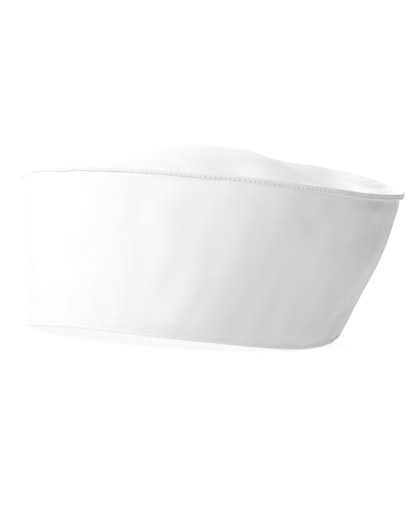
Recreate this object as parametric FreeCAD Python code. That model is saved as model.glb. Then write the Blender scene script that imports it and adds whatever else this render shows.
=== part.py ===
# Low soft chef's cap: an oval crown on an upright band, with an elasticated back.
# Millimetres. +Z is up, the front of the cap faces -Y, +X is the wearer's left, and
# the hem stands on Z = 0.
# The origin is the centre of the bounding box, on the plane that the hem stands on.

import FreeCAD, Part
import os
from math import cos, hypot, pi, sin

# ---- Driving dimensions --------------------------------------------------------

RIM_WIDTH = 176.0            # across the standing edge of the crown, side to side
RIM_LENGTH = 240.0           # front to back
RIM_EGG = 0.033              # how much wider the oval is behind its middle than before it
RIM_HEIGHT = 97.0            # mean height of the standing edge
RIM_PITCH = -4.5             # the back of the edge is lower than the front
RIM_SADDLE = -5.0            # the sides of the edge are higher than its ends

HEM_WIDTH = 158.0            # head opening, side to side
HEM_LENGTH = 197.0           # head opening, front to back
HEM_CENTRE_Y = -18.0         # the front wall is nearly upright, the back wall leans out
HEM_ARCH = 5.0               # how far the elasticated back of the hem is drawn up
ARCH_FULL = 32 * pi / 180    # the arch has its whole height this far round from the back
ARCH_END = 75 * pi / 180     # and has faded out this far round

DOME_RISE = 19.5             # the crown puffs up by this much in its middle

CLOTH = 0.8                  # one layer of twill, as a solid
GAP = 0.3                    # between layers
LAYER = CLOTH + GAP

WELT_DEPTH = 3.5             # the standing folded edge round the crown seam
WELT_PROUD = 2.0             # how far it stands out from the wall
WELT_THICK = 1.2

BACK_HALF_WIDTH = 39.0       # centre back to each side-back seam
SEAM_GAP = 0.15              # half of the gap between the band and the back panel
BACK_TOP_GAP = 1.6           # room above the back panel, so that it can swing

SWEATBAND_DEPTH = 28.0
CASING_DEPTH = 20.0
ELASTIC_LOW = 3.5
ELASTIC_HIGH = 17.0
ELASTIC_THICK = 0.9
BINDING_DEPTH = 9.0
HEM_CLEAR = 0.8              # inner layers stop this far above the hem's fold
FOOT = 0.4                   # made below the hem, then cut off level, so that it stands flat

THREAD = 0.5                 # a row of stitches, as a thin line of this width
THREAD_PROUD = 0.3
THREAD_GAP = 0.05            # between a row of stitches and the face it lies on
CROWN_STITCH = 2.8           # row below the crown's fold
HEM_STITCH = 2.5             # row above the hem's fold
SEAM_STITCH = 2.2            # row beside each side-back seam
TACK_WIDTH = 1.4
TACK_INSET = 2.6             # bar tack from the edge of the back panel

LABEL_LOW = 24.0
LABEL_HIGH = 52.0
LABEL_WIDTH = 34.0
LABEL_THICK = 0.3
LABEL_CENTRE_Y = 8.0

CURVE_POINTS = 72            # round each closed curve
CROWN_POINTS = 15            # each way across the crown
FAR = 300.0                  # larger than the cap

os.makedirs("parts", exist_ok=True)


# ---- The wall's shape ----------------------------------------------------------
# An angle t goes round the cap from the centre of the back. A point of the wall is
# at an angle, at a fraction of the way from hem to crown edge, and at a distance
# out from the wall's outer face, which is measured level.

def oval_point(t, width, length, egg, centre_y, out):
    """A point of a plan oval, moved outward by a distance."""
    x = width / 2 * sin(t) * (1 + egg * cos(t))
    y = length / 2 * cos(t)
    along_x = width / 2 * (cos(t) + egg * cos(2 * t))
    along_y = -length / 2 * sin(t)
    size = hypot(along_x, along_y)
    return x - out * along_y / size, centre_y + y + out * along_x / size


def smooth(fraction):
    """0 to 1 with level ends."""
    f = min(max(fraction, 0.0), 1.0)
    return f * f * (3 - 2 * f)


def rim_z(t):
    return RIM_HEIGHT + RIM_PITCH * cos(t) + RIM_SADDLE * cos(2 * t)


def hem_z(t):
    from_back = abs((t + pi) % (2 * pi) - pi)
    return HEM_ARCH * smooth((ARCH_END - from_back) / (ARCH_END - ARCH_FULL))


def wall_point(t, fraction, out):
    """A point on or beside the wall, on the straight line from hem to crown edge."""
    x0, y0 = oval_point(t, HEM_WIDTH, HEM_LENGTH, 0.0, HEM_CENTRE_Y, out)
    x1, y1 = oval_point(t, RIM_WIDTH, RIM_LENGTH, RIM_EGG, 0.0, out - WELT_PROUD)
    low = FreeCAD.Vector(x0, y0, hem_z(t))
    high = FreeCAD.Vector(x1, y1, rim_z(t))
    return low + (high - low) * fraction


def wall_length(t):
    return wall_point(t, 0, 0).distanceToPoint(wall_point(t, 1, 0))


def from_hem(distance):
    """A height on the wall, given as a distance up from the hem."""
    return lambda t: distance / wall_length(t)


def from_rim(distance):
    """A height on the wall, given as a distance down from the crown edge."""
    return lambda t: 1 - distance / wall_length(t)


# ---- Solids that follow the wall -----------------------------------------------

def closed_curve(height, out):
    angles = [pi / 2 + 2 * pi * i / CURVE_POINTS for i in range(CURVE_POINTS)]
    curve = Part.BSplineCurve()
    curve.interpolate(Points=[wall_point(t, height(t), out) for t in angles], PeriodicFlag=True)
    return curve.toShape()


def ring(low, high, inner, outer):
    """A closed strip round the cap, between two heights and two distances out."""
    corners = [closed_curve(low, outer), closed_curve(high, outer),
               closed_curve(high, inner), closed_curve(low, inner)]
    faces = [Part.makeRuledSurface(corners[i - 1], corners[i]) for i in range(4)]
    shell = Part.Shell(faces)
    shell.sewShape()
    solid = Part.Solid(shell)
    if solid.Volume < 0:
        solid.reverse()
    return solid


def block(x_low, x_high, y_low, y_high):
    """A tall box, to cut a ring with."""
    corner = FreeCAD.Vector(x_low, y_low, -FAR / 2)
    return Part.makeBox(x_high - x_low, y_high - y_low, FAR, corner)


def only_front(solid, clearance):
    """What is left of a ring outside the side-back seams."""
    half = BACK_HALF_WIDTH + clearance
    return solid.cut(block(-half, half, 0, FAR))


def only_back(solid, clearance):
    """What is left of a ring between the side-back seams."""
    half = BACK_HALF_WIDTH - clearance
    return solid.common(block(-half, half, 0, FAR))


def stitch_row(heights, out):
    """A row of stitches right round the cap, on a face at a distance out."""
    low, high = heights
    return ring(low, high, out + THREAD_GAP, out + THREAD_GAP + THREAD_PROUD)


def row_from_hem(distance):
    return from_hem(distance - THREAD / 2), from_hem(distance + THREAD / 2)


def row_from_rim(distance):
    return from_rim(distance + THREAD / 2), from_rim(distance - THREAD / 2)


# ---- The crown -----------------------------------------------------------------

def crown_height(across, along):
    """Height above Z = 0 of a point of the crown, given on a disc of radius 1."""
    radius_2 = across * across + along * along
    edge = RIM_HEIGHT + RIM_PITCH * along + RIM_SADDLE * (along * along - across * across)
    return edge + DOME_RISE * max(0.0, 1 - radius_2) ** 2


def crown_sheet(lift):
    """The crown's surface, as a grid that turns a square into the oval."""
    inset = WELT_PROUD - WELT_THICK
    steps = [2 * i / (CROWN_POINTS - 1) - 1 for i in range(CROWN_POINTS)]
    rows = []
    for u in steps:
        row = []
        for v in steps:
            across = u * (1 - v * v / 2) ** 0.5
            along = v * (1 - u * u / 2) ** 0.5
            x = (RIM_WIDTH / 2 - inset) * across * (1 + RIM_EGG * along)
            y = (RIM_LENGTH / 2 - inset) * along
            row.append(FreeCAD.Vector(x, y, crown_height(across, along) + lift))
        rows.append(row)
    surface = Part.BSplineSurface()
    surface.interpolate(rows)
    return surface


def crown_panel():
    """The oval top: two matching sheets, joined round their edges."""
    faces = []
    edges = []
    for lift in (0.1, 0.1 + CLOTH):
        surface = crown_sheet(lift)
        faces.append(surface.toShape())
        u0, u1, v0, v1 = surface.bounds()
        edges.append([surface.uIso(u0), surface.uIso(u1), surface.vIso(v0), surface.vIso(v1)])
    for lower, upper in zip(*edges):
        faces.append(Part.makeRuledSurface(lower.toShape(), upper.toShape()))
    shell = Part.Shell(faces)
    shell.sewShape()
    solid = Part.Solid(shell)
    if solid.Volume < 0:
        solid.reverse()
    return solid


def crown_welt():
    return ring(from_rim(WELT_DEPTH), from_rim(0), WELT_PROUD - WELT_THICK, WELT_PROUD)


def crown_topstitch():
    return stitch_row(row_from_rim(CROWN_STITCH), WELT_PROUD)


def crown_binding():
    """The tape that covers the crown seam's raw edges inside."""
    outer = -LAYER - GAP
    return ring(from_rim(BINDING_DEPTH), from_rim(HEM_CLEAR), outer - CLOTH, outer)


# ---- The front and sides -------------------------------------------------------

def hem_foot(t):
    """The height of the hem's fold, or a little lower where the hem isn't drawn up."""
    return from_hem(-FOOT * (1 - hem_z(t) / HEM_ARCH))(t)


def side_band():
    band = only_front(ring(hem_foot, from_rim(GAP), -CLOTH, 0), SEAM_GAP)
    below = Part.makeBox(FAR, FAR, FAR, FreeCAD.Vector(-FAR / 2, -FAR / 2, -FAR))
    return band.cut(below)


def sweatband():
    """The inner facing that the hem is turned with."""
    strip = ring(from_hem(HEM_CLEAR), from_hem(SWEATBAND_DEPTH), -LAYER - CLOTH, -LAYER)
    return only_front(strip, SEAM_GAP + GAP)


def hem_topstitch():
    return only_front(stitch_row(row_from_hem(HEM_STITCH), 0), SEAM_GAP)


def seam_stitch(side):
    """The row that holds the seam turnings down, just in front of a side-back seam."""
    heights = from_hem(HEM_STITCH + 2 * THREAD), from_rim(WELT_DEPTH + THREAD)
    line = stitch_row(heights, 0)
    near = BACK_HALF_WIDTH + SEAM_STITCH
    if side > 0:
        return line.common(block(near, near + THREAD, 0, FAR))
    return line.common(block(-near - THREAD, -near, 0, FAR))


def care_label():
    """A blank tape, caught under the top of the sweatband on the cap's -X side."""
    outer = -2 * LAYER - GAP
    strip = ring(from_hem(LABEL_LOW), from_hem(LABEL_HIGH), outer - LABEL_THICK, outer)
    low = LABEL_CENTRE_Y - LABEL_WIDTH / 2
    return strip.common(block(-FAR, 0, low, low + LABEL_WIDTH))


# ---- The elasticated back ------------------------------------------------------

def back_panel():
    return only_back(ring(from_hem(0), from_rim(BACK_TOP_GAP), -CLOTH, 0), SEAM_GAP)


def back_elastic():
    outer = -LAYER
    strip = ring(from_hem(ELASTIC_LOW), from_hem(ELASTIC_HIGH), outer - ELASTIC_THICK, outer)
    return only_back(strip, SEAM_GAP + GAP)


def back_casing():
    """The turned-up strip that holds the elastic against the panel."""
    outer = -LAYER - ELASTIC_THICK - GAP
    strip = ring(from_hem(HEM_CLEAR), from_hem(CASING_DEPTH), outer - CLOTH, outer)
    return only_back(strip, SEAM_GAP + GAP)


def casing_stitch():
    rows = [stitch_row(row_from_hem(d), 0) for d in (HEM_STITCH, CASING_DEPTH - THREAD)]
    return Part.Compound([only_back(row, SEAM_GAP + GAP) for row in rows])


def elastic_tacks():
    """Two bar tacks, one over each end of the elastic."""
    strip = stitch_row((from_hem(ELASTIC_LOW), from_hem(ELASTIC_HIGH)), 0)
    near = BACK_HALF_WIDTH - TACK_INSET
    sides = [(near - TACK_WIDTH, near), (-near, -near + TACK_WIDTH)]
    return Part.Compound([strip.common(block(low, high, 0, FAR)) for low, high in sides])


# ---- Write every node ----------------------------------------------------------

NODES = {
    "crown_panel": crown_panel(),
    "crown_welt": crown_welt(),
    "crown_topstitch": crown_topstitch(),
    "crown_binding": crown_binding(),
    "side_band": side_band(),
    "sweatband": sweatband(),
    "hem_topstitch": hem_topstitch(),
    "left_back_stitch": seam_stitch(1),
    "right_back_stitch": seam_stitch(-1),
    "care_label": care_label(),
    "back_panel": back_panel(),
    "back_elastic": back_elastic(),
    "back_casing": back_casing(),
    "casing_stitch": casing_stitch(),
    "elastic_tacks": elastic_tacks(),
}

for name, shape in NODES.items():
    shape.exportStep("parts/" + name + ".step")
    box = shape.BoundBox
    print(f"{name:18s} solids {len(shape.Solids)}  volume {shape.Volume:9.1f}  valid {shape.isValid()}  "
          f"x {box.XMin:7.1f} {box.XMax:7.1f}  y {box.YMin:7.1f} {box.YMax:7.1f}  "
          f"z {box.ZMin:6.1f} {box.ZMax:6.1f}")
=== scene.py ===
# %% [markdown]
# # A cook's low soft cap
# The cap is sewn from white cotton twill. An oval crown puffs up over an upright
# band, and the two meet in a folded edge that stands a little proud and is
# topstitched. The back of the band is a separate panel that an elastic draws in.
# All the cloth is made from one description of the wall and one of the crown, so
# every layer, seam and row of stitches lies where its neighbours expect it.
# First the fixed frame is loaded. Nothing below moves or changes it.

# %% Load the frame
import math

import bpy
import numpy as np
from mathutils import Matrix, Vector


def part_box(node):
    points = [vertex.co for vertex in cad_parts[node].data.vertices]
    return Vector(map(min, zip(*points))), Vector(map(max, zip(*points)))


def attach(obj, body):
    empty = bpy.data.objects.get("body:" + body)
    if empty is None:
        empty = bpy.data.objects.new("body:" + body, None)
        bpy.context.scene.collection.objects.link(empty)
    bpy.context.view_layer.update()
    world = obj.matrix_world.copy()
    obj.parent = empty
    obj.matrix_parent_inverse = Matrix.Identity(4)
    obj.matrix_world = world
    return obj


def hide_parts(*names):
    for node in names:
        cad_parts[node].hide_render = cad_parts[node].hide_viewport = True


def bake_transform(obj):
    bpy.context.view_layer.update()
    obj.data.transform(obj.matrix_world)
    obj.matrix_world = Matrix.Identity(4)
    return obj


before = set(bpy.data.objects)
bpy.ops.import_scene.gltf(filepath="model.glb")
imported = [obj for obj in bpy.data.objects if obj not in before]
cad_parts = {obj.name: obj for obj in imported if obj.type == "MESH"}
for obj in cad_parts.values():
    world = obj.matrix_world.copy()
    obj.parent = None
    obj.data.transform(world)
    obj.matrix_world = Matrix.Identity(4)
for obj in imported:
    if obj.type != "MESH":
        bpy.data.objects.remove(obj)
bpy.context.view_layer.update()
MM = 0.001
TURN = 2 * math.pi

# %% [markdown]
# ## Camera
# The cap is looked at from its own left side, with its front to the left of the
# picture. A long lens far away keeps the oval from spreading. The camera stands
# a little above the crown's edge, and leans slightly, because a soft cap never
# sits quite level.

# %% Place the camera
CAMERA_AWAY = 1.3
CAMERA_RISE = math.radians(5.55)
CAMERA_LEAN = math.radians(2.77)
CAMERA_LENS, CAMERA_SENSOR = 142.3, 36
CAMERA_AIM = Vector((0, -0.0012, 0.047))

towards = Vector((math.cos(CAMERA_RISE), 0, math.sin(CAMERA_RISE)))
camera_data = bpy.data.cameras.new("camera")
camera_data.lens = CAMERA_LENS
camera_data.sensor_width = CAMERA_SENSOR
camera = bpy.data.objects.new("camera", camera_data)
camera.rotation_mode = "QUATERNION"
camera.location = CAMERA_AIM + towards * CAMERA_AWAY
level = (-towards).to_track_quat("-Z", "Y").to_matrix()
camera.rotation_quaternion = (level @ Matrix.Rotation(CAMERA_LEAN, 3, "Z")).to_quaternion()
bpy.context.scene.collection.objects.link(camera)
bpy.context.scene.camera = camera
print("camera at", [round(v, 3) for v in camera.location])

# %% [markdown]
# ## Node trees as Python
# Materials and Geometry Nodes are both trees of nodes. `Tree.node` makes any node
# from its kind, its settings, and the values or links of its sockets. `Maths`
# wraps a socket that carries a number, so that a formula can be written as one:
# adding, subtracting, multiplying or dividing makes the Math node for that step.

# %% One method for every node
class Tree:
    """A node tree, built one node at a time."""

    def __init__(self, nodes):
        self.nodes = nodes
        nodes.nodes.clear()

    def node(self, kind, settings=None, *values, **named):
        made = self.nodes.nodes.new(kind)
        for key, value in (settings or {}).items():
            setattr(made, key, value)
        for key, value in list(enumerate(values)) + list(named.items()):
            target = made.inputs[key if isinstance(key, int) else key.replace("_", " ")]
            value = value.socket if isinstance(value, Maths) else value
            if isinstance(value, bpy.types.NodeSocket):
                self.nodes.links.new(value, target)
            elif value is not None:
                target.default_value = value
        return made

    def number(self, made, output=0):
        return Maths(self, made.outputs[output])

    def parts(self, vector):
        """The three numbers of a vector."""
        split = self.node("ShaderNodeSeparateXYZ", {}, vector)
        return [self.number(split, i) for i in range(3)]

    def noise(self, place, scale, detail=2.0, **named):
        return self.number(self.node("ShaderNodeTexNoise", {}, Vector=place, Scale=scale, Detail=detail, **named))

    def mix(self, share, first, second):
        """A colour between two others."""
        return self.node("ShaderNodeMix", {"data_type": "RGBA"}, share, *[None] * 5, first, second).outputs[2]


class Maths:
    """A socket that carries a number, and the nodes that arithmetic on it adds."""

    def __init__(self, tree, socket):
        self.tree = tree
        self.socket = socket

    def step(self, operation, *values, **settings):
        made = self.tree.node("ShaderNodeMath", {"operation": operation, **settings}, *values)
        return Maths(self.tree, made.outputs[0])

    def __add__(self, other):
        return self.step("ADD", self, other)

    def __radd__(self, other):
        return self.step("ADD", other, self)

    def __sub__(self, other):
        return self.step("SUBTRACT", self, other)

    def __mul__(self, other):
        return self.step("MULTIPLY", self, other)

    def sine(self):
        return self.step("SINE", self)

    def held(self):
        """The number kept between 0 and 1."""
        return self.step("ADD", self, 0.0, use_clamp=True)


def material(name):
    made = bpy.data.materials.new(name)
    made.use_nodes = True
    return made, Tree(made.node_tree)

# %% [markdown]
# ## White cotton twill
# Twill shows fine slanting ribs, because each weft thread passes over two warp
# threads and under one, one step further along in each row. The ribs follow the
# cloth, so they are worked out from its UV map, which is in metres along and
# across the cut piece. A soft noise varies the ribs, since spun yarn is uneven,
# and long thin streaks follow single thick yarns. White cloth is never one white:
# a faint mottling keeps large areas alive, and a trace of sheen stands for the
# short fibres that catch light at the edges. Where a net carries the attribute
# "hole", the cloth darkens: this is painted shade, standing for the shade inside a needle hole.

# %% Cloth finishes
PAINTED_HOLE_SHADE = (0.44, 0.44, 0.455, 1)   # painted shade at a needle hole: the tone of the shade inside the gap
SLUB_SCALE, MOTTLE_SCALE = 1100.0, 55.0   # noise of uneven yarn, and of large faint patches
STREAK_STRETCH = (1500.0, 70.0, 1.0)      # thick yarns: fine across the cloth, long up it
YARN_PITCH = 0.45 * MM


def cloth_finish(name, light, shade, rib_pitch, rib_slant, rib_height, roughness, sheen):
    made, s = material(name)
    uv = s.node("ShaderNodeUVMap", {"uv_map": "cloth"}).outputs[0]
    along, across, _ = s.parts(uv)
    slub = s.noise(uv, SLUB_SCALE)
    mottle = s.noise(uv, MOTTLE_SCALE, 4.0, Roughness=0.62)
    pulled = s.node("ShaderNodeVectorMath", {"operation": "MULTIPLY"}, uv, STREAK_STRETCH)
    streak = s.noise(pulled.outputs[0], 1.0)
    rib = ((along * rib_slant + across) * (TURN / rib_pitch) + slub * 2.2).sine()
    yarn = (along * (TURN / YARN_PITCH) + slub * 3.0).sine()
    height = rib * 0.5 + yarn * 0.18 + slub * 1.2 + streak * 0.8
    amount = (mottle * 0.62 + rib * 0.05 + streak * 0.3 - 0.05).held()
    bump = s.node("ShaderNodeBump", {}, Strength=0.4, Distance=rib_height, Height=height)
    # painted shade: where the attribute "hole" is set, the tone turns to the painted shade of a needle hole
    hole = s.node("ShaderNodeAttribute", {"attribute_name": "hole"})
    tone = s.mix(hole.outputs["Fac"], s.mix(amount, light, shade), PAINTED_HOLE_SHADE)
    finish = s.node("ShaderNodeBsdfPrincipled", {}, Base_Color=tone, Roughness=mottle * 0.14 + roughness,
                    Normal=bump.outputs[0], Sheen_Weight=sheen, Sheen_Roughness=0.45)
    s.node("ShaderNodeOutputMaterial", {}, finish.outputs[0])
    return made


twill = cloth_finish("twill", (0.77, 0.77, 0.775, 1), (0.715, 0.717, 0.73, 1), rib_pitch=0.75 * MM,
                     rib_slant=0.62, rib_height=0.09 * MM, roughness=0.76, sheen=0.02)
tape = cloth_finish("binding_tape", (0.84, 0.84, 0.845, 1), (0.76, 0.762, 0.775, 1), rib_pitch=0.50 * MM,
                    rib_slant=0.0, rib_height=0.07 * MM, roughness=0.82, sheen=0.08)
braid = cloth_finish("elastic_braid", (0.82, 0.82, 0.80, 1), (0.72, 0.72, 0.71, 1), rib_pitch=1.20 * MM,
                     rib_slant=0.0, rib_height=0.20 * MM, roughness=0.68, sheen=0.05)
satin = cloth_finish("label_tape", (0.90, 0.90, 0.90, 1), (0.85, 0.85, 0.86, 1), rib_pitch=0.30 * MM,
                     rib_slant=0.0, rib_height=0.02 * MM, roughness=0.38, sheen=0.10)
print("finishes", twill.name, tape.name, braid.name, satin.name)

# %% [markdown]
# ## Thread
# Sewing thread is two or three plies twisted together. At this size the twist is
# a fine slanting stripe round the stitch. It is slightly glossier and lighter
# than the cloth, which is why a white stitch on white cloth still shows.

# %% Thread finish
THREAD_LIGHT, THREAD_SHADE = (0.83, 0.83, 0.833, 1), (0.75, 0.752, 0.765, 1)
TWIST_LEVEL, TWIST_UPRIGHT = 9000.0, 14000.0   # radians of the stripe to a metre
FUZZ_SCALE = 2500.0


def thread_finish():
    made, s = material("thread")
    place = s.node("ShaderNodeTexCoord").outputs["Object"]
    x, y, z = s.parts(place)
    ply = ((x + y) * TWIST_LEVEL + z * TWIST_UPRIGHT).sine()
    fuzz = s.noise(place, FUZZ_SCALE)
    tone = s.mix((ply * 0.15 + fuzz * 0.6).held(), THREAD_LIGHT, THREAD_SHADE)
    bump = s.node("ShaderNodeBump", {}, Strength=0.5, Distance=0.05 * MM, Height=ply * 0.5 + fuzz)
    finish = s.node("ShaderNodeBsdfPrincipled", {}, Base_Color=tone, Roughness=fuzz * 0.15 + 0.5,
                    Normal=bump.outputs[0], Sheen_Weight=0.1)
    s.node("ShaderNodeOutputMaterial", {}, finish.outputs[0])
    return made


thread = thread_finish()
print("finish", thread.name)

# %% [markdown]
# ## Two ovals
# Seen from above, the crown's edge and the hem are both ovals. An angle t goes
# round each from the centre of the back, towards the wearer's left. The crown's
# oval is a little wider behind its middle, as a head is. Its size is read from
# the frame; the hem's is that of a head 56 cm round.

# %% Plan ovals
RIM_HALF = tuple(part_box("crown_welt")[1].xy)
RIM_EGG = 0.033
HEM_HALF = (79 * MM, 98.5 * MM)
HEM_CENTRE_Y = -14.6 * MM


def oval(t, half, egg, centre_y, out):
    """Points of an oval moved out by a distance, and the level direction outwards."""
    x = half[0] * np.sin(t) * (1 + egg * np.cos(t))
    y = half[1] * np.cos(t)
    dx = half[0] * (np.cos(t) + egg * np.cos(2 * t))
    dy = -half[1] * np.sin(t)
    size = np.hypot(dx, dy)
    normal = np.stack([-dy / size, dx / size, np.zeros_like(t)], -1)
    point = np.stack([x, y + centre_y, np.zeros_like(t)], -1)
    return point + normal * np.asarray(out)[..., None], normal


def smooth(f):
    f = np.clip(f, 0, 1)
    return f * f * (3 - 2 * f)


def hump(f):
    return np.exp(-f * f)


print("crown oval", [round(2000 * v, 1) for v in RIM_HALF], "mm")

# %% [markdown]
# ## Heights round the cap
# The crown's edge dips at its ends and rises at the sides, and the whole cap is
# slightly twisted, as soft things are. The hem rests on the table in front and
# behind one ear and arches a few millimetres between. Twelve heights, one every
# 30 degrees, are joined by a smooth wave that passes through them all.

# %% Rim and hem heights
HEM_HEIGHTS = np.array([4.2, 1.0, 2.4, 6.4, 8.3, 5.5, 0.6, 0.7, 1.5, 3.2, 3.6, 3.6]) * MM
# the crown's edge: its mean height, its tilt, the dip of its ends and the twist of its sides
RIM_MEAN, RIM_PITCH, RIM_SADDLE, RIM_TWIST = 102.2 * MM, -1.6 * MM, -5.1 * MM, -2.7 * MM
# small local dips and lifts of that edge: angle and half width in degrees, height in mm
RIM_DENTS = [(180, 13, -2.2), (-16, 9, -1.5), (18, 13, 0.7), (100, 20, -0.8)]


def through(values, t):
    """The smoothest closed wave through evenly spaced values."""
    waves = np.fft.rfft(values) / len(values)
    total = np.full_like(t, waves[0].real)
    for k in range(1, len(waves)):
        share = 1 if 2 * k == len(values) else 2
        total += share * (waves[k].real * np.cos(k * t) - waves[k].imag * np.sin(k * t))
    return total


def from_angle(t, degrees):
    """The angle from a direction round the cap, from -pi to pi."""
    return np.mod(t - math.radians(degrees) + math.pi, TURN) - math.pi


def rim_height(t):
    height = RIM_MEAN + RIM_PITCH * np.cos(t) + RIM_SADDLE * np.cos(2 * t) + RIM_TWIST * np.sin(2 * t)
    for at, width, rise in RIM_DENTS:
        height = height + rise * MM * hump(from_angle(t, at) / math.radians(width))
    return height


def crumple(t, up, waves, seed):
    """Faint uneven waves over the cloth: whole numbers of waves round, and any slant."""
    dice = np.random.default_rng(seed)
    total = np.zeros_like(t)
    for k in waves:
        slant, phase, size = dice.uniform(-9, 9), dice.uniform(0, TURN), dice.uniform(0.5, 1)
        total += size * np.sin(k * t + slant * up + phase)
    return total / math.sqrt(len(waves))

# %% [markdown]
# ## Folds in the wall
# Pressed cloth keeps a few broad folds. Each is a ridge along a straight line
# drawn on the wall, given by where it starts and ends: an angle round the cap
# and a fraction of the wall's height. It can fall more steeply on one side than
# on the other, and it fades out past its ends.

# %% Folds
# start angle and height, end angle and height, rise in mm, width on the back's side and the front's side in mm
FOLDS = [
    (88, -0.10, 69, 1.10, 2.6, 20, 30),   # the left side turns towards the front along this line
    (45, -0.05, 25, 0.66, 2.6, 10, 18),   # and towards the back along this one
    (94.5, 0.00, 87.5, 0.42, 0.8, 5, 10),
    (112, 0.05, 110, 0.60, 0.5, 18, 12),
    (96, 0.42, 105, 0.90, 0.8, 12, 8),
    (112, 0.70, 103, 0.95, -0.5, 7, 7),
    (27, 0.98, 43, 0.72, 1.1, 6, 7),
    (47, 0.92, 58, 0.74, -1.0, 9, 9),
    (44, 0.00, 38, 0.22, 0.5, 2.5, 3),
    (30, 0.95, 29, 0.62, 0.35, 3, 3),
    (150, 0.05, 140, 0.70, 0.7, 18, 14),
    (262, 0.05, 275, 0.80, 1.4, 18, 9),
    (298, 0.15, 286, 0.95, 1.2, 10, 16),
    (236, 0.10, 226, 0.75, 0.9, 14, 14),
    (318, 0.90, 306, 0.60, 0.9, 8, 10),
    (320, 0.05, 334, 0.50, 1.2, 6, 12),
    (195, 0.25, 186, 0.95, 0.5, 16, 16),
]
WALL_SIZE = (92 * MM, 98 * MM)   # length of one radian round the wall, and the wall's height
FADE = 0.2                       # a fold fades out from this share of its length inside each end to the same past it


def fold_height(t, up):
    """How far the folds push the wall out."""
    total = np.zeros_like(t)
    turned = np.mod(t, TURN)
    for t0, h0, t1, h1, rise, back_width, front_width in FOLDS:
        start = np.array([math.radians(t0) * WALL_SIZE[0], h0 * WALL_SIZE[1]])
        line = np.array([math.radians(t1) * WALL_SIZE[0], h1 * WALL_SIZE[1]]) - start
        length = np.hypot(*line)
        a = turned * WALL_SIZE[0] - start[0]
        b = up * WALL_SIZE[1] - start[1]
        on = (a * line[0] + b * line[1]) / length**2
        off = (a * line[1] - b * line[0]) / length * np.sign(line[1])
        width = np.where(off > 0, front_width, back_width) * MM
        fade = smooth((on + FADE) / (2 * FADE)) * smooth((1 + FADE - on) / (2 * FADE))
        total += rise * MM * hump(off / width) * fade
    return total

# %% [markdown]
# ## The wall
# A point of the wall lies on the straight line from hem to crown edge. To that
# come the folds, a slight belly, a fine crumple, and near the back the small
# gathers that the elastic makes. Every layer of the wall asks this one function
# where it is, and says only how far out from the wall's face it lies.

# %% The wall's shape
SEAM_X = 39 * MM              # centre back to each side-back seam
GATHERS = 13                  # small gathers across the back panel
GATHER_RISE = 1.0 * MM
BELLY_SIDE, BELLY_FRONT, BELLY_BACK = 1.1 * MM, -0.3 * MM, 4.6 * MM
BACK_BULGE_AT, BACK_BULGE_WIDTH = 0.58, 0.33   # shares of the wall's height
# how far the crown's edge stands out from the wall
EDGE_PROUD, EDGE_PROUD_FRONT, EDGE_PROUD_BACK = 0.9 * MM, 0.3 * MM, 1.7 * MM
CRUMPLE_RISE = 0.16 * MM
CRUMPLE_WAVES = (13, 17, 22, 26, 31, 37)
HEM_GRIP, RIM_GRIP = 0.10, 0.12   # shares of the height over which hem and crown seam hold the relief down


def edge_proud(t):
    cos = np.cos(t)
    return (EDGE_PROUD + (EDGE_PROUD_BACK - EDGE_PROUD) * smooth((cos - 0.75) / 0.2)
            + (EDGE_PROUD_FRONT - EDGE_PROUD) * smooth((-cos - 0.75) / 0.2))


def belly(t, up):
    """The wall bulges a little at the sides, and most at the back, where it slants."""
    cos = np.cos(t)
    front, back = smooth((-cos - 0.3) / 0.6), smooth((cos - 0.3) / 0.6)
    middle = np.sin(math.pi * up)
    bulge = hump((up - BACK_BULGE_AT) / BACK_BULGE_WIDTH)
    return (1 - front - back) * BELLY_SIDE * middle + front * BELLY_FRONT * middle + back * BELLY_BACK * bulge


def seam_angle(up):
    """Where the side-back seams are, at a height on the wall."""
    at_hem = math.asin(SEAM_X / HEM_HALF[0])
    at_rim = math.asin(SEAM_X / (RIM_HALF[0] - EDGE_PROUD_BACK) / (1 + RIM_EGG * 0.9))
    return at_hem + (at_rim - at_hem) * np.asarray(up)


def gathers(t, up):
    """Small upright folds above the elastic, deepest just over the hem."""
    across = from_angle(t, 0) / seam_angle(0)
    inside = smooth((1.04 - np.abs(across)) / 0.22)
    wave = np.sin(across * math.pi * GATHERS / 2 + 1.1 * np.sin(across * 6) + 0.4)
    uneven = 0.75 + 0.25 * np.sin(across * 9 + 1)
    fade = smooth((0.70 - up) / 0.62) * (1 - 0.5 * smooth((0.09 - up) / 0.08))
    return GATHER_RISE * inside * wave * uneven * fade


def wall(t, up, out):
    """Points of the wall, t round from the back, up from hem to crown, and out from its face."""
    low, hem_normal = oval(t, HEM_HALF, 0.0, HEM_CENTRE_Y, out)
    high, rim_normal = oval(t, RIM_HALF, RIM_EGG, 0.0, np.asarray(out) - edge_proud(t))
    low[..., 2] = through(HEM_HEIGHTS, t)
    high[..., 2] = rim_height(t)
    held = np.clip(up, 0, 1)
    free = (0.35 + 0.65 * smooth(held / HEM_GRIP)) * (0.08 + 0.92 * smooth((1 - held) / RIM_GRIP))
    relief = (fold_height(t, up) + belly(t, held)) * free
    relief += gathers(t, up) + CRUMPLE_RISE * crumple(t, up, CRUMPLE_WAVES, 3) * free
    level_out = hem_normal + (rim_normal - hem_normal) * up[..., None]
    return low + (high - low) * up[..., None] + level_out * relief[..., None]


around = np.linspace(0, TURN, 361)
middle = wall(around, np.full_like(around, 0.5), np.zeros_like(around))
print("wall at mid height spans", [round(1000 * v, 1) for v in middle.max(0) - middle.min(0)], "mm")

# %% [markdown]
# ## From points to cloth
# Every piece of cloth is a net of points with a UV map that measures the cloth in
# metres. Solidify gives it the thickness of the cloth, inwards from its face,
# and the result is kept as a plain mesh, so that nothing live is left.

# %% Points to cloth
TWILL_THICK = 0.45 * MM
SHARP_ANGLE = math.radians(50)   # edges sharper than this keep their corner in the shading


def add(name, data):
    """A new object in the scene."""
    made = bpy.data.objects.new(name, data)
    bpy.context.scene.collection.objects.link(made)
    return made


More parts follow.
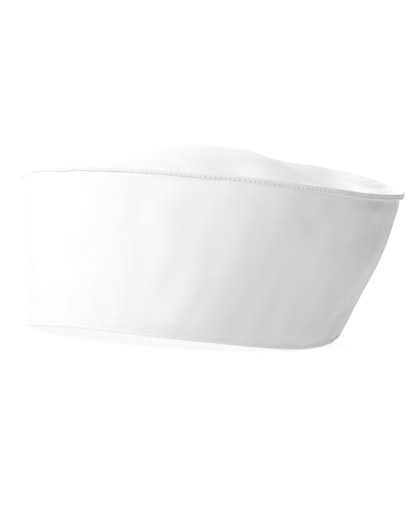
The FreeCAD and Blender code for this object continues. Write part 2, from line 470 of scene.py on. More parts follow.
def keep_result(piece):
    """Keeps what the modifiers make as a plain mesh."""
    shown = piece.evaluated_get(bpy.context.evaluated_depsgraph_get())
    mesh = bpy.data.meshes.new_from_object(shown)
    piece.modifiers.clear()
    piece.data = mesh
    mesh.shade_smooth()
    mesh.set_sharp_from_angle(angle=SHARP_ANGLE)


def net_faces(rows, columns):
    r, c = np.mgrid[0:rows - 1, 0:columns - 1]
    first = r * columns + c
    return np.stack([first, first + columns, first + columns + 1, first + 1], -1).reshape(-1, 4)


def cloth(name, points, uv, faces, finish, thickness, painted_hole_shade=None):
    mesh = bpy.data.meshes.new(name)
    mesh.from_pydata(points.reshape(-1, 3).tolist(), [], faces.tolist())
    layer = mesh.uv_layers.new(name="cloth")
    layer.data.foreach_set("uv", uv.reshape(-1, 2)[faces.ravel()].astype(np.float32).ravel())
    # the painted shade at each needle hole is kept as the attribute "hole"
    if painted_hole_shade is not None:
        mesh.attributes.new("hole", "FLOAT", "POINT").data.foreach_set("value", painted_hole_shade.astype(np.float32))
    mesh.materials.append(finish)
    piece = add(name, mesh)
    thicken = piece.modifiers.new("thickness", "SOLIDIFY")
    thicken.thickness = thickness
    thicken.offset = -1
    keep_result(piece)
    print(name, len(piece.data.polygons), "faces")
    return piece


def distance_along(line):
    """How far along a line of points each one is."""
    return np.concatenate([[0], np.cumsum(np.linalg.norm(np.diff(line, axis=0), axis=1))])


def strip(name, points, finish, thickness):
    """Cloth from rows that go up the wall and columns that go round it, facing outwards."""
    rows, columns = points.shape[:2]
    along, across = distance_along(points[rows // 2]), distance_along(points[:, columns // 2])
    uv = np.stack(np.broadcast_arrays(along[None, :], across[:, None]), -1)
    return cloth(name, points, uv, net_faces(rows, columns), finish, thickness)

# %% [markdown]
# ## The side band
# One strip makes the front and both sides. Its lower edge is turned up inside,
# so the net runs down the inside, round the fold, and up the outside. At each end
# it dips into the side-back seam. Rows and columns lie closest together where
# the cloth bends most.

# %% Side band
TURN_UP = 11 * MM
WALL_RISE = 97 * MM
FOLD_RADIUS = 0.55 * MM
BAND_TOP = 0.985                 # share of the wall's height
BAND_LENGTH, BAND_COLUMNS = 0.50, 392
HEM_STITCH_UP = 2.5 * MM
STITCH_GROOVE = 0.16 * MM        # how far the hem's stitches pull the cloth in
INSIDE_ROWS, BEND_ROWS, LOW_ROWS, UPPER_ROWS = 6, 7, 11, 61
LOW_TO = 6 * MM                  # the rows are closer together below this height
SEAM_DEPTH, SEAM_SWELL = 0.42 * MM, 0.25 * MM


def hem_profile():
    """Heights, as shares of the wall, and distances out: down inside, round the hem, and up outside."""
    inside = np.linspace(TURN_UP, 1.5 * MM, INSIDE_ROWS)
    bend = np.linspace(math.pi, TURN, BEND_ROWS)
    low = np.linspace(1.0 * MM, LOW_TO, LOW_ROWS)
    rise = np.concatenate([inside, FOLD_RADIUS * (1 + np.sin(bend)), low]) / WALL_RISE
    groove = -STITCH_GROOVE * hump((low - HEM_STITCH_UP) / (0.7 * MM))
    out = np.concatenate([np.full(INSIDE_ROWS, -2 * FOLD_RADIUS), -FOLD_RADIUS * (1 - np.cos(bend)), groove])
    upper = np.linspace(LOW_TO / WALL_RISE, BAND_TOP, UPPER_ROWS + 1)[1:]
    return np.concatenate([rise, upper]), np.concatenate([out, np.zeros(UPPER_ROWS)])


def seam_dip(distance):
    """The face sinks into a seam within a millimetre or so, and swells beside it."""
    return -SEAM_DEPTH * hump(distance / (1.0 * MM)) + SEAM_SWELL * hump((distance - 3 * MM) / (1.8 * MM))


def columns_between(count, length):
    """Shares of a length, close together near its ends."""
    near_end = np.array([0, 0.5, 1.0, 1.5, 2.0, 2.7, 3.5, 4.5]) * MM / length
    past_ends = 5.7 * MM / length
    inner = np.linspace(past_ends, 1 - past_ends, count)
    return np.concatenate([near_end, inner, 1 - near_end[::-1]])


def panel(count, first, last, length):
    """A net between two seams; first and last give the seams' angles at a height."""
    up, out = hem_profile()
    share = columns_between(count, length)
    start, end = first(up)[:, None], last(up)[:, None]
    t = start + (end - start) * share[None, :]
    from_seam = np.minimum(share, 1 - share)[None, :] * length
    rows = np.repeat(up[:, None], len(share), 1)
    return wall(t, rows, out[:, None] + seam_dip(from_seam))


side_net = panel(BAND_COLUMNS, seam_angle, lambda up: TURN - seam_angle(up), BAND_LENGTH)
side_band = strip("side_band_cloth", side_net, twill, TWILL_THICK)

# %% [markdown]
# ## The back panel
# The back of the wall is a separate piece, cut wider than the space it fills.
# The elastic draws its hem in, and the spare width becomes the small gathers.

# %% Back panel
BACK_LENGTH, BACK_COLUMNS = 0.088, 130

back_net = panel(BACK_COLUMNS, lambda up: -seam_angle(up), seam_angle, BACK_LENGTH)
back_panel = strip("back_panel_cloth", back_net, twill, TWILL_THICK)

# %% [markdown]
# ## The layers inside
# A sweatband faces the front and sides inside. At the back the hem is turned up
# as a casing, and a flat braided elastic lies in it. A tape covers the raw edges
# under the crown, and a small blank label is caught in the wearer's right side.
# All are strips that follow the wall a little further in. Their faces point to
# the head, so each strip's columns are taken the other way round.

# %% Layers inside
def inner_strip(name, angles, heights, out, columns, rows, finish, thickness, curl, seed):
    """A strip inside the wall, between two angles and two heights; its upper edge can stand off by the curl."""
    f = np.linspace(0, 1, rows)
    low, high = heights
    up = np.repeat(((low + (high - low) * f) / WALL_RISE)[:, None], columns, 1)
    t = np.repeat(np.linspace(*angles, columns)[None, :], rows, 0)
    wave = crumple(t, up, (19, 27, 35, 44), seed)
    depth = out - curl * (f**3)[:, None] * (0.6 + 0.4 * wave)
    return strip(name, wall(t, up, depth)[:, ::-1], finish, thickness)


SEAM_LOW = float(seam_angle(0))
sweatband = inner_strip(
    "sweatband_cloth", (SEAM_LOW + 0.02, TURN - SEAM_LOW - 0.02), (0.9 * MM, 28 * MM), out=-1.8 * MM,
    columns=300, rows=16, finish=twill, thickness=TWILL_THICK, curl=0.9 * MM, seed=4)
casing = inner_strip(
    "back_casing_cloth", (-SEAM_LOW + 0.03, SEAM_LOW - 0.03), (0.9 * MM, 20 * MM), out=-2.9 * MM,
    columns=120, rows=12, finish=twill, thickness=TWILL_THICK, curl=0.4 * MM, seed=5)
elastic = inner_strip(
    "back_elastic_braid", (-SEAM_LOW + 0.05, SEAM_LOW - 0.05), (3.5 * MM, 17 * MM), out=-2.0 * MM,
    columns=120, rows=10, finish=braid, thickness=0.7 * MM, curl=0.0, seed=6)
binding = inner_strip(
    "crown_binding_tape", (0.0, TURN + 0.06), (86.0 * MM, 95.5 * MM), out=-0.95 * MM,
    columns=360, rows=7, finish=tape, thickness=0.5 * MM, curl=0.3 * MM, seed=7)
label = inner_strip(
    "care_label_tape", (math.radians(271), math.radians(290)), (26 * MM, 52 * MM), out=-2.7 * MM,
    columns=28, rows=16, finish=satin, thickness=0.2 * MM, curl=-1.0 * MM, seed=8)

# %% [markdown]
# ## The crown's edge
# Crown and wall are sewn face to face, turned, and topstitched, so the crown's
# cloth folds over its own turnings and stands out as a narrow edge. At the front
# the edge is pressed flatter and rounder. Stitches must be evenly spaced along
# the oval, so angles round the cap are read from a table of its length.

# %% Crown edge line
STITCH_COUNT = 224
EDGE_COLUMNS = 3 * STITCH_COUNT
STITCH_DOWN = 2.55 * MM
EDGE_WANDER = 0.14 * MM          # uneven pressing of the edge, up and down
EDGE_WAVER = 0.16 * MM           # and in and out

table_t = np.linspace(0, TURN, 7201)
table_xy, _ = oval(table_t, RIM_HALF, RIM_EGG, 0.0, 0.0)
table_s = distance_along(table_xy)
RIM_LENGTH = float(table_s[-1])


def even_angle(turns):
    """The angle reached after a share of the way round the crown's edge."""
    whole = np.floor(turns)
    return np.interp((turns - whole) * RIM_LENGTH, table_s, table_t) + whole * TURN


def frontness(t):
    return smooth((-np.cos(t) - 0.86) / 0.12)


def rim_line(t, out, down):
    """A point of the standing edge, out from its outermost line and down from its top."""
    point, normal = oval(t, RIM_HALF, RIM_EGG, 0.0, out)
    wander = EDGE_WANDER * crumple(t, np.zeros_like(t), (9, 14, 22, 37), 11)
    point[..., 2] = rim_height(t) + 0.5 * MM - down + wander
    return point + normal * (EDGE_WAVER * crumple(t, np.zeros_like(t), (13, 19, 29, 41), 5))[..., None]


print("crown edge", round(RIM_LENGTH, 3), "m round, a stitch every", round(1000 * RIM_LENGTH / STITCH_COUNT, 2), "mm")

# %% [markdown]
# ## The crown's surface
# The crown is a flat oval of twill, cut slightly too large for its rim, which is
# why it puffs. Its rest shape is drawn first: the rim's heights carried inwards,
# a dome that lies nearer the front, two low swells across it, and a pressed ridge
# towards the back.

# %% Crown surface
DOME_RISE = 18.1 * MM
DOME_FRONT, DOME_BACK, DOME_SIDE = 93 * MM, 101 * MM, 94 * MM
DOME_Y = -12 * MM
DOME_POWER = 1.4                 # above 1, the dome's foot is hollow and its top is rounder
SWELLS = [(28 * MM, 20 * MM, 1.1 * MM), (-78 * MM, 10 * MM, 0.45 * MM)]   # place along the cap, half width, rise
RIDGE_START, RIDGE_END = (-0.074, 0.050), (0.010, 0.106)
RIDGE_RISE, RIDGE_FRONT, RIDGE_BACK = 2.0 * MM, 26, 10                    # rise, and half width on each side in mm


def crown_ridge(x, y):
    """A pressed ridge that runs slanting to the centre of the back."""
    start, end = np.array(RIDGE_START), np.array(RIDGE_END)
    line = (end - start) / np.hypot(*(end - start))
    on = (x - start[0]) * line[0] + (y - start[1]) * line[1]
    off = (x - start[0]) * line[1] - (y - start[1]) * line[0]
    width = np.where(off > 0, RIDGE_FRONT, RIDGE_BACK) * MM
    return RIDGE_RISE * hump(off / width) * smooth((on + 0.02) / 0.04) * smooth((0.125 - on) / 0.03)


def crown_surface(r, t):
    """The crown over its oval: r from 0 in the middle to 1 at the edge's inner side, t round from the back."""
    cos = np.cos(t)
    point, _ = oval(t, RIM_HALF, RIM_EGG, 0.0, np.full_like(t, -1.6 * MM) - 1.6 * MM * frontness(t))
    x, y = point[..., 0] * r, point[..., 1] * r
    edge = RIM_MEAN + RIM_PITCH * r * cos + r**2 * (rim_height(t) - RIM_MEAN - RIM_PITCH * cos)
    length = np.where(y < DOME_Y, DOME_FRONT, DOME_BACK)
    near_middle = np.clip(1 - ((y - DOME_Y) / length) ** 2 - (x / DOME_SIDE) ** 2, 0, 1)
    puff = near_middle**DOME_POWER * smooth((1 - r) / 0.25)
    swell = sum(rise * hump((y - at) / width) for at, width, rise in SWELLS) * hump(x / DOME_SIDE)
    z = edge + 0.6 * MM + DOME_RISE * puff + (crown_ridge(x, y) + swell) * smooth((1 - r**2) / 0.25)
    return np.stack([x, y, z], -1)

# %% [markdown]
# ## The crown's net
# A round net has a pinched centre, so a square net is bent into the oval instead.
# Its border has one point for each third of a stitch. A coarse net has every
# third row, and smooth curves through its points lead back to the fine one.

# %% Square net on the oval
FINE = EDGE_COLUMNS // 4 + 1
COARSE_STEP = 3


def disc_net(points):
    """Radius and angle of a square net bent into a disc, evenly spaced along its edge."""
    side = math.sqrt(2) * np.sin(np.linspace(-math.pi / 4, math.pi / 4, points))
    u, v = np.meshgrid(side, side, indexing="ij")
    x, y = u * np.sqrt(1 - v * v / 2), v * np.sqrt(1 - u * u / 2)
    r, turns = np.hypot(x, y), np.mod(np.arctan2(x, y) / TURN, 1)
    return r, turns * TURN + (even_angle(turns) - turns * TURN) * r**2


def finer(coarse, times):
    """A net with more points, on smooth curves through the coarse one's points."""
    for _ in range(2):
        ends = np.concatenate([2 * coarse[:1] - coarse[1:2], coarse, 2 * coarse[-1:] - coarse[-2:-1]])
        p0, p1, p2, p3 = ends[:-3], ends[1:-2], ends[2:-1], ends[3:]
        rows = []
        for k in range(times):
            f = k / times
            rows.append(0.5 * (2 * p1 + (p2 - p0) * f + (2 * p0 - 5 * p1 + 4 * p2 - p3) * f**2
                               + (3 * p1 - p0 - 3 * p2 + p3) * f**3))
        between = np.stack(rows, 1).reshape(-1, *coarse.shape[1:])
        coarse = np.concatenate([between, coarse[-1:]]).swapaxes(0, 1)
    return coarse

# %% [markdown]
# ## Draping the crown
# The coarse net is draped by a short cloth simulation: the rim is held, the rest is
# held loosely, as pressed cloth holds its shape, and the cloth grows a little, so
# that the spare cloth finds its own shallow folds. Smoothing then takes out the
# small creases, as an iron does. How far each point moved is kept.

# %% Drape
DRAPE_FRAMES = 26
DRAPE_HOLD = 0.10        # how firmly the pressed shape is held: 1 is fixed
SPARE_CLOTH = 0.010      # how much the cloth grows
PRESSED = 14             # rounds of smoothing
DRAPE_SETTINGS = {
    "vertex_group_mass": "held", "quality": 8, "mass": 0.2, "tension_stiffness": 40, "compression_stiffness": 40,
    "shear_stiffness": 10, "bending_stiffness": 30, "shrink_min": -SPARE_CLOTH, "use_pressure": True,
    "uniform_pressure_force": 0.05,
}
DRAPE_GRAVITY = 0.05     # share of full weight, since the pressed shape carries the rest


def drape_crown():
    """How far the spare cloth moves each point of the coarse net."""
    n = (FINE - 1) // COARSE_STEP + 1
    start = crown_surface(*disc_net(n))
    mesh = bpy.data.meshes.new("drape")
    mesh.from_pydata(start.reshape(-1, 3).tolist(), [], net_faces(n, n).tolist())
    piece = add("drape", mesh)
    i, j = np.mgrid[0:n, 0:n]
    border = ((i % (n - 1) == 0) | (j % (n - 1) == 0)).ravel()
    held = piece.vertex_groups.new(name="held")
    held.add(np.flatnonzero(~border).tolist(), DRAPE_HOLD, "REPLACE")
    held.add(np.flatnonzero(border).tolist(), 1.0, "REPLACE")
    sim = piece.modifiers.new("cloth", "CLOTH")
    for key, value in DRAPE_SETTINGS.items():
        setattr(sim.settings, key, value)
    sim.settings.effector_weights.gravity = DRAPE_GRAVITY
    for step in range(1, DRAPE_FRAMES + 1):
        bpy.context.scene.frame_set(step)
    shown = piece.evaluated_get(bpy.context.evaluated_depsgraph_get())
    moved = np.zeros(n * n * 3, np.float32)
    shown.data.vertices.foreach_get("co", moved)
    bpy.data.objects.remove(piece)
    bpy.context.scene.frame_set(1)
    shift = moved.reshape(n, n, 3) - start
    for _ in range(PRESSED):
        inner = shift[:-2, 1:-1] + shift[2:, 1:-1] + shift[1:-1, :-2] + shift[1:-1, 2:]
        shift[1:-1, 1:-1] = 0.5 * shift[1:-1, 1:-1] + 0.125 * inner
    print("drape moved the crown by up to", round(1000 * float(np.linalg.norm(shift, axis=-1).max()), 2), "mm")
    return finer(shift, COARSE_STEP)


crown_shift = drape_crown()

# %% [markdown]
# ## The finished crown
# The fine net takes its place from the drape. Near the edge the spare cloth is
# eased into the seam, which leaves small soft puckers. Past the edge the net
# rolls over the turnings and tucks in under them. Each topstitch ends in a
# needle hole, where the cloth sinks in and is painted with shade.

# %% Crown cloth
# out from the edge's outermost line and down from its top, in mm: pressed sharp at the sides, round at the front
SHARP_EDGE = [(-1.0, 0.00), (-0.45, 0.08), (-0.12, 0.38), (0.0, 0.85), (-0.03, 1.35), (-0.12, 1.8), (-0.26, 2.2),
              (-0.34, 2.55), (-0.30, 2.9), (-0.34, 3.2), (-0.6, 3.5), (-1.1, 3.55), (-1.9, 3.4)]
ROUND_EDGE = [(-2.3, 0.05), (-1.3, 0.40), (-0.55, 1.00), (-0.1, 1.75), (0.0, 2.2), (-0.04, 2.5), (-0.15, 2.8),
              (-0.30, 3.1), (-0.28, 3.3), (-0.34, 3.5), (-0.6, 3.7), (-1.1, 3.75), (-1.9, 3.6)]
PUCKERS = (25, 31, 36, 43, 52, 61)   # waves round the crown
PUCKER_RISE = 0.32 * MM
HOLE_DEPTH, HOLE_REACH = 0.38 * MM, 0.6 * MM


def ring_order(n):
    """The border of a square net, point by point, starting halfway from the back to the left."""
    k = np.arange(n - 1)
    last = n - 1
    return np.concatenate([last * n + last - k, (last - k) * n, k, k * n + last])


def edge_rows(t, hole):
    """The rolled edge, row by row, and the painted shade at each point; hole is 1 at a needle hole and 0 between.

    Towards the front the edge is pressed flatter, and the painted shade at each needle hole is weaker there.
    """
    front = frontness(t)
    rows, hole_shade = [], []
    for (o0, d0), (o1, d1) in zip(SHARP_EDGE, ROUND_EDGE):
        out = (o0 + (o1 - o0) * front) * MM
        down = (d0 + (d1 - d0) * front) * MM
        near_stitches = hump((d0 * MM - STITCH_DOWN) / HOLE_REACH) if o0 > -0.5 else 0.0
        sink = HOLE_DEPTH * near_stitches * (hole - 0.25)
        rows.append(rim_line(t, out - sink, down))
        # painted shade at each needle hole, weaker towards the front
        hole_shade.append(hole * near_stitches**2 * (1 - 0.75 * smooth((0.15 - np.cos(t)) / 0.6)))
    return np.stack(rows), np.stack(hole_shade)


def crown_points():
    r, t = disc_net(FINE)
    dome = crown_surface(r, t) + crown_shift
    eased = smooth((r - 0.80) / 0.13) * smooth((1.0 - r) / 0.035)
    dome[..., 2] += PUCKER_RISE * eased * crumple(t, 3 * r, PUCKERS, 21)
    ring = ring_order(FINE)
    ring_t = t.reshape(-1)[ring]
    hole = (np.arange(EDGE_COLUMNS) % 3 == 0).astype(float)
    edge, hole_shade = edge_rows(ring_t, hole)
    return dome, ring, edge, hole_shade


def crown_cloth():
    dome, ring, edge, hole_shade = crown_points()
    rows = len(edge)
    base = FINE * FINE
    numbers = np.concatenate([ring[None, :], base + np.arange(rows * EDGE_COLUMNS).reshape(rows, -1)])
    beside = np.roll(numbers, -1, axis=1)
    edge_faces = np.stack([numbers[:-1], beside[:-1], beside[1:], numbers[1:]], -1).reshape(-1, 4)
    faces = np.concatenate([net_faces(FINE, FINE), edge_faces])
    inner = dome.reshape(-1, 3)
    points = np.concatenate([inner, edge.reshape(-1, 3)])
    border = inner[ring]
    outward = border[:, :2] / np.linalg.norm(border[:, :2], axis=1, keepdims=True)
    steps = np.linalg.norm(np.diff(np.concatenate([border[None], edge]), axis=0), axis=-1).cumsum(0)
    edge_uv = border[None, :, :2] + outward[None] * steps[..., None]
    uv = np.concatenate([inner[:, :2], edge_uv.reshape(-1, 2)])
    # painted shade: none on the inner net, and the shade of each needle hole on the edge
    painted_hole_shade = np.concatenate([np.zeros(base), hole_shade.ravel()])
    return cloth("crown_cloth", points, uv, faces, twill, TWILL_THICK, painted_hole_shade)


crown = crown_cloth()

# %% [markdown]
# ## Rows of stitches
# A machine stitch shows as a short piece of thread that rises out of one needle
# hole and dives into the next. Geometry Nodes lay one such piece at even steps
# along a line, turned to follow the line and to stand on the cloth, with a
# little unevenness from a fixed seed. Turned by a right angle and set close, the
# same tree makes a bar tack.

# %% Stitch tree
STITCH_INPUTS = {
    "Stitches": ("NodeSocketInt", 10),
    "Stitch length": ("NodeSocketFloat", 2.6 * MM),
    "Thread radius": ("NodeSocketFloat", 0.18 * MM),
    "Turn": ("NodeSocketFloat", 0.0),
    "Unevenness": ("NodeSocketFloat", 0.06),
    "Seed": ("NodeSocketInt", 1),
    "Thread": ("NodeSocketMaterial", None),
}


def stitch_tree():
    group = bpy.data.node_groups.new("stitch_row", "GeometryNodeTree")
    g = Tree(group)
    group.interface.new_socket("Line", in_out="INPUT", socket_type="NodeSocketGeometry")
    for name, (kind, value) in STITCH_INPUTS.items():
        socket = group.interface.new_socket(name, in_out="INPUT", socket_type=kind)
        if value is not None:
            socket.default_value = value
    group.interface.new_socket("Row", in_out="OUTPUT", socket_type="NodeSocketGeometry")
    given = g.node("NodeGroupInput").outputs
    length, radius, uneven = (Maths(g, given[name]) for name in ("Stitch length", "Thread radius", "Unevenness"))

    start = g.node("ShaderNodeCombineXYZ", {}, length * -0.5, 0.0, radius * -1.3)
    peak = g.node("ShaderNodeCombineXYZ", {}, 0.0, 0.0, radius * 2.1)
    end = g.node("ShaderNodeCombineXYZ", {}, length * 0.5, 0.0, radius * -1.3)
    arc = g.node("GeometryNodeCurveQuadraticBezier", {}, Resolution=6, Start=start.outputs[0],
                 Middle=peak.outputs[0], End=end.outputs[0])
    ring = g.node("GeometryNodeCurvePrimitiveCircle", {"mode": "RADIUS"}, Resolution=6, Radius=radius)
    stitch = g.node("GeometryNodeCurveToMesh", {}, Curve=arc.outputs[0], Profile_Curve=ring.outputs[0], Fill_Caps=True)

    line = g.node("GeometryNodeMeshToCurve", {}, given["Line"])
    even = g.node("GeometryNodeResampleCurve", {"mode": "COUNT"}, Curve=line.outputs[0], Count=given["Stitches"])
    places = g.node("GeometryNodeCurveToPoints", {"mode": "EVALUATED"}, even.outputs[0])
    outwards = g.node("GeometryNodeInputNamedAttribute", {"data_type": "FLOAT_VECTOR"}, "outwards")
    stand = g.node("FunctionNodeAxesToRotation", {"primary_axis": "Z", "secondary_axis": "X"},
                   outwards.outputs[0], places.outputs["Tangent"])
    swing = g.node("FunctionNodeRandomValue", {"data_type": "FLOAT"}, Seed=given["Seed"])
    g.nodes.links.new((uneven * -1.0).socket, swing.inputs[2])
    g.nodes.links.new(uneven.socket, swing.inputs[3])
    yaw = g.node("ShaderNodeCombineXYZ", {}, 0.0, 0.0, g.number(swing, 1) + Maths(g, given["Turn"]))
    turned = g.node("FunctionNodeRotateRotation", {"rotation_space": "LOCAL"}, stand.outputs[0],
                    g.node("FunctionNodeEulerToRotation", {}, yaw.outputs[0]).outputs[0])
    size = g.node("FunctionNodeRandomValue", {"data_type": "FLOAT_VECTOR"}, (0.93, 1, 1), (1.05, 1, 1),
                  Seed=given["Seed"])
    laid = g.node("GeometryNodeInstanceOnPoints", {}, Points=places.outputs["Points"], Instance=stitch.outputs[0],
                  Rotation=turned.outputs[0], Scale=size.outputs[0])
    real = g.node("GeometryNodeRealizeInstances", {}, laid.outputs[0])
    soft = g.node("GeometryNodeSetShadeSmooth", {}, real.outputs[0])
    coloured = g.node("GeometryNodeSetMaterial", {}, Geometry=soft.outputs[0], Material=given["Thread"])
    g.node("NodeGroupOutput", {}, coloured.outputs[0])
    return group


stitch_row = stitch_tree()
print("stitch tree has", len(stitch_row.nodes), "nodes")

# %% [markdown]
# ## Laying a row
# A row is given as points along a line with the direction that points out of the
# cloth at each. A piece may have several rows, which are joined into one mesh.

# %% Lay rows of stitches
def make_row(points, outwards, stitches, closed=False, **inputs):
    """One row's mesh, from the line's points and directions."""
    count = len(points)
    edges = [(i, (i + 1) % count) for i in range(count if closed else count - 1)]
    mesh = bpy.data.meshes.new("line")
    mesh.from_pydata(points.tolist(), edges, [])
    mesh.attributes.new("outwards", "FLOAT_VECTOR", "POINT").data.foreach_set(
        "vector", outwards.astype(np.float32).ravel())
    line = add("line", mesh)
    sew = line.modifiers.new("sew", "NODES")
    sew.node_group = stitch_row
    values = {"Stitches": stitches, "Thread": thread, **{k.replace("_", " "): v for k, v in inputs.items()}}
    for item in stitch_row.interface.items_tree:
        if item.in_out == "INPUT" and item.name in STITCH_INPUTS:
            sew[item.identifier] = values.get(item.name, STITCH_INPUTS[item.name][1])
    made = bpy.data.meshes.new_from_object(line.evaluated_get(bpy.context.evaluated_depsgraph_get()))
    bpy.data.objects.remove(line)
    return made


def sewn(name, rows):
    """One piece from several rows' meshes."""
    points, faces, start = [], [], 0
    for mesh in rows:
        co = np.zeros(len(mesh.vertices) * 3, np.float32)
        mesh.vertices.foreach_get("co", co)
        points.append(co.reshape(-1, 3))
        faces += [tuple(start + v for v in p.vertices) for p in mesh.polygons]
        start += len(mesh.vertices)
    whole = bpy.data.meshes.new(name)
    whole.from_pydata(np.concatenate(points).tolist(), [], faces)
    whole.materials.append(thread)
    whole.shade_smooth()
    piece = add(name, whole)
    print(name, len(faces), "faces")
    return piece


def direction_out(t, up, out, step=0.004):
    """The unit direction out of the wall."""
    a = wall(t + step, up, out) - wall(t - step, up, out)
    b = wall(t, up + step, out) - wall(t, up - step, out)
    normal = np.cross(b, a)
    return normal / np.linalg.norm(normal, axis=-1, keepdims=True)


def wall_row(t, up, out, pitch, outside=True, stitch=None, **inputs):
    """A row of stitches along a line on the wall."""
    points = wall(t, up, out)
    outwards = direction_out(t, up, out) * (1 if outside else -1)
    stitches = max(2, int(round(distance_along(points)[-1] / pitch)))
    return make_row(points, outwards, stitches, Stitch_length=stitch or pitch * 0.86, **inputs)

# %% [markdown]
# ## The cap's seams
# The crown's topstitching is the one row that shows at arm's length. The hem has
# one row, seen outside and inside. Each side-back seam has one row beside it, the
# casing has two, and a bar tack holds each end of the elastic.

# %% All the stitching
def crown_row():
    t = even_angle((np.arange(EDGE_COLUMNS) + 1.5) / EDGE_COLUMNS)
    front = frontness(t)
    points = rim_line(t, (-0.34 + 0.04 * front) * MM, STITCH_DOWN + 0.55 * MM * front)
    tangent = np.roll(points, -1, 0) - np.roll(points, 1, 0)
    outwards = np.cross(tangent, np.array([0, 0, -1.0]))
    outwards /= np.linalg.norm(outwards, axis=1, keepdims=True)
    return make_row(points, outwards, STITCH_COUNT, closed=True, Stitch_length=2.65 * MM, Seed=3)


def level_row(t0, t1, height, out, pitch, **inputs):
    t = np.linspace(t0, t1, 700)
    return wall_row(t, np.full_like(t, height / WALL_RISE), np.full_like(t, out), pitch, **inputs)


def upright_row(side, beside, low, high, out, pitch, **inputs):
    """A row along a side-back seam: side is 1 for the left one, and beside is how far it is towards the front."""
    up = np.linspace(low, high, 300) / WALL_RISE
    t = side * (seam_angle(up) + beside / WALL_SIZE[0])
    return wall_row(t, up, np.full_like(up, out), pitch, **inputs)


CASING_STITCH_UP = 19 * MM
HEM_PITCH = 3.4 * MM

crown_topstitch = sewn("crown_topstitch_thread", [crown_row()])
hem_ends = SEAM_LOW + 0.03, TURN - SEAM_LOW - 0.03
hem_topstitch = sewn("hem_topstitch_thread", [
    level_row(*hem_ends, HEM_STITCH_UP, -0.1 * MM, HEM_PITCH, Seed=5),
    level_row(*hem_ends, HEM_STITCH_UP, -1.85 * MM, HEM_PITCH, Seed=6, outside=False)])
seam_row = {"beside": 2.4 * MM, "low": 3.6 * MM, "high": 92 * MM, "out": 0.12 * MM, "pitch": 3.2 * MM}
left_back_stitch = sewn("left_back_stitch_thread", [upright_row(1, Seed=7, **seam_row)])
right_back_stitch = sewn("right_back_stitch_thread", [upright_row(-1, Seed=8, **seam_row)])
casing_stitch = sewn("casing_stitch_thread", [
    level_row(-SEAM_LOW + 0.03, SEAM_LOW - 0.03, height, 0.0, 3.0 * MM, Seed=9)
    for height in (HEM_STITCH_UP, CASING_STITCH_UP)])
elastic_tacks = sewn("elastic_tack_thread", [
    upright_row(side, -3.2 * MM, 3.8 * MM, 16.8 * MM, 0.3 * MM, 0.6 * MM, stitch=1.8 * MM, Turn=math.pi / 2, Seed=10)
    for side in (1, -1)])

# %% [markdown]
# ## Floor and light
# White goods are often shown on a pale translucent sheet that is lit from beneath,
# so the floor glows and the shadow under the hem stays faint. Behind the cap is a
# bright white backdrop. Both ends of the studio are dim, so that the cap's ends
# darken and its outline shows against white. One large soft lamp stands in front
# of the cap's left side.

# %% Floor and light
FLOOR_HALF = 60                  # metres, so that the floor has no edge in sight
FLOOR_LIGHT, FLOOR_SHADE = (0.14, 0.14, 0.14, 1), (0.12, 0.12, 0.12, 1)
FLOOR_GLOW = 0.89
# brightness of the surroundings: all round, near the floor, the backdrop and the ceiling
ROUND, SWEEP, BACKDROP, CEILING = 0.34, 0.3, 2.3, 0.6
SIDE_LOSS, END_LOSS = 0.15, 0.4  # how much dimmer they get towards the cap's two ends, and close to them
STUDIO_WHITE = (0.985, 0.988, 1.0, 1)


def make_floor():
    mesh = bpy.data.meshes.new("floor")
    corners = [(x * FLOOR_HALF, y * FLOOR_HALF, 0) for x, y in ((-1, -1), (1, -1), (1, 1), (-1, 1))]
    mesh.from_pydata(corners, [], [(0, 1, 2, 3)])
    made, s = material("pale_floor")
    place = s.node("ShaderNodeTexCoord").outputs["Object"]
    tone = s.mix(s.noise(place, 14.0, 3.0), FLOOR_LIGHT, FLOOR_SHADE)
    finish = s.node("ShaderNodeBsdfPrincipled", {}, Base_Color=tone, Roughness=0.95, Specular_IOR_Level=0.1,
                    Emission_Color=(1, 1, 1, 1), Emission_Strength=FLOOR_GLOW)
    s.node("ShaderNodeOutputMaterial", {}, finish.outputs[0])
    mesh.materials.append(made)
    return add("floor", mesh)


floor = make_floor()


def soft_lamp(name, place, aim, size, power, tint):
    data = bpy.data.lights.new(name, "AREA")
    data.shape = "RECTANGLE"
    data.size, data.size_y = size
    data.energy = power
    data.color = tint
    lamp = add(name, data)
    lamp.location = place
    lamp.rotation_mode = "QUATERNION"
    lamp.rotation_quaternion = (Vector(aim) - Vector(place)).to_track_quat("-Z", "Y")


soft_lamp("key", place=(1.32, -1.57, 1.60), aim=(0, 0, 0.05), size=(2.0, 2.0), power=61, tint=(1.0, 0.998, 0.988))


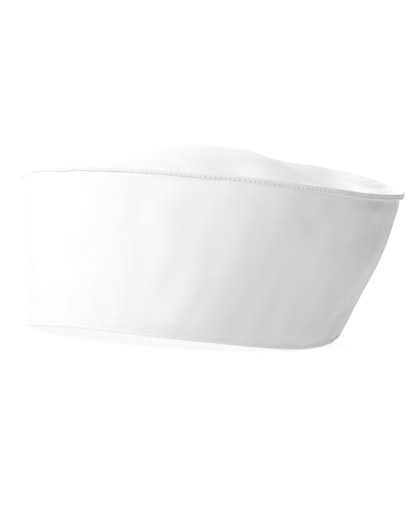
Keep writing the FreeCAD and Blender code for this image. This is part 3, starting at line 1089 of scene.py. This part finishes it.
def studio():
    """White surroundings, whose brightness depends only on the direction looked in."""
    world = bpy.data.worlds.new("studio")
    world.use_nodes = True
    s = Tree(world.node_tree)
    x, y, z = s.parts(s.node("ShaderNodeTexCoord").outputs["Generated"])
    sides = y.held() + (y * -1.0).held()              # towards either end of the cap
    sweep = (z * -6.0 + 1.6).held()                   # low down, where the floor's sheet curves up
    behind = (x * -1.0 - sides * 0.8).held()          # the backdrop
    ceiling = (z * 0.8 - x * 0.6 - y * 0.35).held()   # overhead, most towards the backdrop and the cap's front
    dusk = (sides * 4.0 - 2.2).held()                 # close to either end
    strength = ROUND + sweep * SWEEP + behind * BACKDROP + ceiling * CEILING - sides * SIDE_LOSS - dusk * END_LOSS
    sky = s.node("ShaderNodeBackground", {}, STUDIO_WHITE, strength)
    s.node("ShaderNodeOutputWorld", {}, sky.outputs[0])
    return world


bpy.context.scene.world = studio()
bpy.context.scene.view_settings.view_transform = "Standard"
print("studio lit")

# %% [markdown]
# ## What moves with what
# The crown, its edge and its stitches stay with the cap. The wall's lower back
# swings out when the elastic stretches, but here every layer of the wall rides on
# no body and stays where it is. Each piece hides the CAD nodes that it stands for.

# %% Ride and hide the CAD parts
# piece, its material slot, the body it rides on or None where it rides on none, and the CAD nodes it stands for
PIECES = [
    (crown, "twill", "cap", ["crown_panel", "crown_welt"]),
    (crown_topstitch, "thread", "cap", ["crown_topstitch"]),
    (binding, "binding_tape", "cap", ["crown_binding"]),
    (label, "label_tape", "cap", ["care_label"]),
    (side_band, "twill", None, ["side_band"]),
    (sweatband, "twill", None, ["sweatband"]),
    (hem_topstitch, "thread", None, ["hem_topstitch"]),
    (left_back_stitch, "thread", None, ["left_back_stitch"]),
    (right_back_stitch, "thread", None, ["right_back_stitch"]),
    (back_panel, "twill", None, ["back_panel"]),
    (elastic, "elastic_braid", None, ["back_elastic"]),
    (casing, "twill", None, ["back_casing"]),
    (casing_stitch, "thread", None, ["casing_stitch"]),
    (elastic_tacks, "thread", None, ["elastic_tacks"]),
]
for piece, slot, body, nodes in PIECES:
    if body:
        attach(piece, body)
    else:
        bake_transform(piece)
    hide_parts(*nodes)
